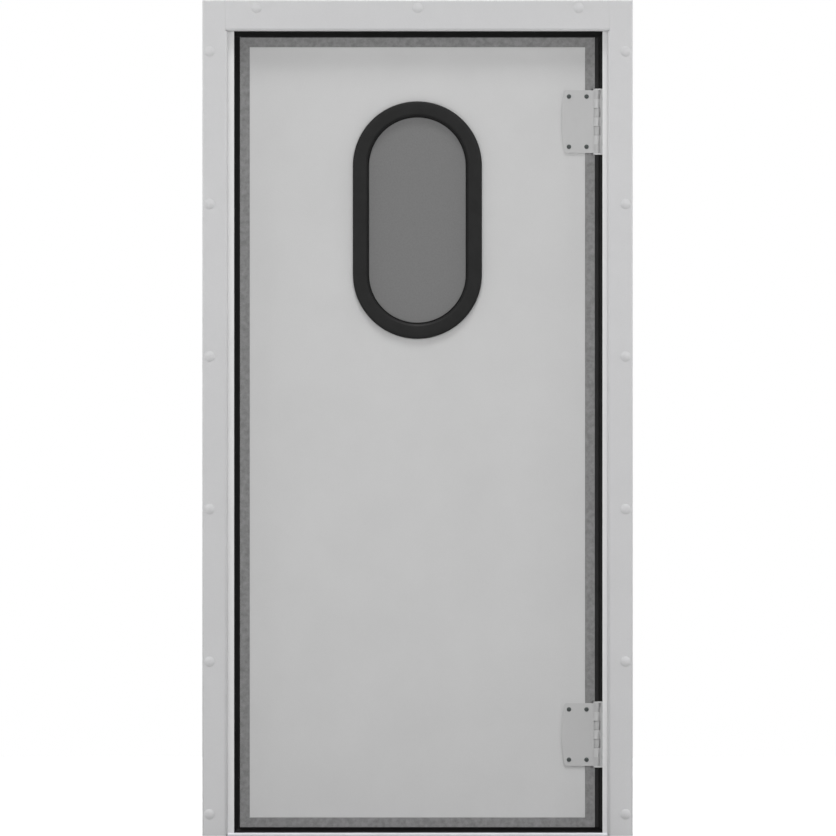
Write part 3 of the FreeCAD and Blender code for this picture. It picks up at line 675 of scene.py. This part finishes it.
def make_stage():
    """Plain floor that looks white to the camera and keeps the object's shadow."""
    half_width, drop, grey, glow = 14.0, 1.0 * MM, 0.5, 0.66
    bm = bmesh.new()
    bmesh.ops.create_grid(bm, x_segments=2, y_segments=2, size=half_width)
    mesh = bpy.data.meshes.new("floor")
    bm.to_mesh(mesh)
    bm.free()
    floor = bpy.data.objects.new("floor", mesh)
    floor.location = (0, 0, -drop)
    bpy.context.scene.collection.objects.link(floor)
    material = bpy.data.materials.new("floor_white")
    material.use_nodes = True
    tree = material.node_tree
    shader = tree.nodes["Principled BSDF"]
    shader.inputs["Base Color"].default_value = (grey, grey, grey, 1)
    shader.inputs["Roughness"].default_value = 1.0
    shader.inputs["Specular IOR Level"].default_value = 0.0
    shader.inputs["Emission Color"].default_value = (glow, glow, glow, 1)
    path = tree.nodes.new("ShaderNodeLightPath")
    tree.links.new(path.outputs["Is Camera Ray"], shader.inputs["Emission Strength"])
    mesh.materials.append(material)


def make_world():
    """Soft light from a pale dome, brighter at both sides, on a white background."""
    ahead, aside = 0.2, 0.5
    world = bpy.data.worlds.new("studio")
    bpy.context.scene.world = world
    world.use_nodes = True
    tree = world.node_tree
    tree.nodes.clear()
    add = tree.nodes.new
    link = tree.links.new
    place = add("ShaderNodeTexCoord")
    split = add("ShaderNodeSeparateXYZ")
    link(place.outputs["Generated"], split.inputs[0])
    sideways = add("ShaderNodeMath")
    sideways.operation = "ABSOLUTE"
    link(split.outputs["X"], sideways.inputs[0])
    ramp = add("ShaderNodeMapRange")
    levels = (("From Min", 0.0), ("From Max", 1.0), ("To Min", ahead), ("To Max", aside))
    for socket, value in levels:
        ramp.inputs[socket].default_value = value
    link(sideways.outputs[0], ramp.inputs["Value"])
    dome = add("ShaderNodeBackground")
    link(ramp.outputs["Result"], dome.inputs["Strength"])
    white = add("ShaderNodeBackground")
    for background in (dome, white):
        background.inputs["Color"].default_value = (1, 1, 1, 1)
    path = add("ShaderNodeLightPath")
    seen = path.outputs["Is Camera Ray"]
    for ray in ("Is Glossy Ray", "Is Transmission Ray"):
        either = add("ShaderNodeMath")
        either.operation = "MAXIMUM"
        link(seen, either.inputs[0])
        link(path.outputs[ray], either.inputs[1])
        seen = either.outputs[0]
    mix = add("ShaderNodeMixShader")
    link(seen, mix.inputs["Fac"])
    link(dome.outputs[0], mix.inputs[1])
    link(white.outputs[0], mix.inputs[2])
    out = add("ShaderNodeOutputWorld")
    link(mix.outputs[0], out.inputs["Surface"])


def make_light(name, kind, energy, place, target):
    """A light of one kind that stands at a place and shines towards a target."""
    light = bpy.data.lights.new(name, kind)
    light.energy = energy
    obj = bpy.data.objects.new(name, light)
    obj.location = place
    obj.rotation_mode = "QUATERNION"
    obj.rotation_quaternion = (Vector(target) - Vector(place)).to_track_quat("-Z", "Y")
    bpy.context.scene.collection.objects.link(obj)
    return obj


def make_lights():
    """The same lights for both faces: a broad one overhead, two in front, two to the sides."""
    elevation, distance = math.radians(68), 6
    lamp_z, aim = 2.3, (0, 0, 1.6)
    for face, side in ((-1, "front"), (1, "rear")):
        above = (0, face * distance * math.cos(elevation), distance * math.sin(elevation))
        overhead = make_light(f"{side}_overhead", "SUN", 1.5, above, (0, 0, 0))
        overhead.data.angle = math.radians(14)
        for hand, hand_name in ((-1, "left"), (1, "right")):
            for label, x, y, power in (("fill", 1.3, 2.6, 12.0), ("side", 5.0, 1.2, 50.0)):
                name = f"{side}_{label}_{hand_name}"
                lamp = make_light(name, "AREA", power, (hand * x, face * y, lamp_z), aim)
                lamp.data.shape = "RECTANGLE"
                lamp.data.size, lamp.data.size_y = 1.6, 1.2
                # No glare along the faces from lamps that stand almost in their plane.
                lamp.visible_glossy = label == "fill"


def make_camera():
    """Level long lens, square on, with the frame filling the picture's height."""
    camera = bpy.data.cameras.new("camera")
    camera.lens = LENS
    camera.sensor_width = SENSOR
    distance = PICTURE_WIDTH * LENS / SENSOR
    camera.clip_end = distance * 2
    obj = bpy.data.objects.new("camera", camera)
    obj.location = (PICTURE_CENTRE_X, -FACE_Y - distance, PICTURE_CENTRE_Z)
    obj.rotation_euler = (math.pi / 2, 0, 0)
    bpy.context.scene.collection.objects.link(obj)
    bpy.context.scene.camera = obj


make_camera()
make_world()
make_lights()
make_stage()
dress_nodes()
make_caps()
make_hinge_screws()
make_seals()
make_hinge_beads()
make_notch_pads()
make_hinge_washers()
make_gaskets()
bpy.context.scene.view_settings.view_transform = "Standard"
